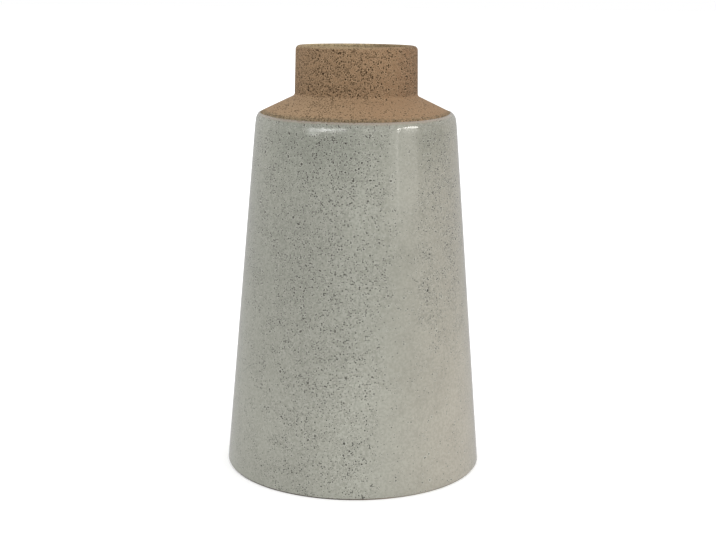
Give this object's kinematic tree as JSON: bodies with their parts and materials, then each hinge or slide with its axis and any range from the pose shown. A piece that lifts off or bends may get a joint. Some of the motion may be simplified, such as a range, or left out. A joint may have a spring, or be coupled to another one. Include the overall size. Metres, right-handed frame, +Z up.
{
  "type": "bottle vase",
  "caption": "Cone-bodied stoneware bottle vase with a sloping shoulder and a short wide neck; glossy speckled grey-green glaze on the body, bare sandy clay above it.",
  "frame": {"origin": "centre of the foot ring, on the table", "axes": "+Z up along the vase's axis; the vase is round, so +X and +Y are any two level directions, with the picture taken from the -Y side"},
  "size_m": [0.184, 0.184, 0.3],
  "materials": {
    "bare_clay": "matte sandy stoneware with dark iron speckle",
    "speckled_glaze": "glossy pale grey-green glaze with dark iron speckle",
    "lining_glaze": "satin pale grey lining glaze"
  },
  "bodies": {
    "root": {"base_slab": "bare_clay", "body_wall": "bare_clay", "shoulder_ring": "bare_clay", "neck_collar": "bare_clay", "outer_glaze": "speckled_glaze", "inner_glaze": "lining_glaze"}
  },
  "joints": []
}
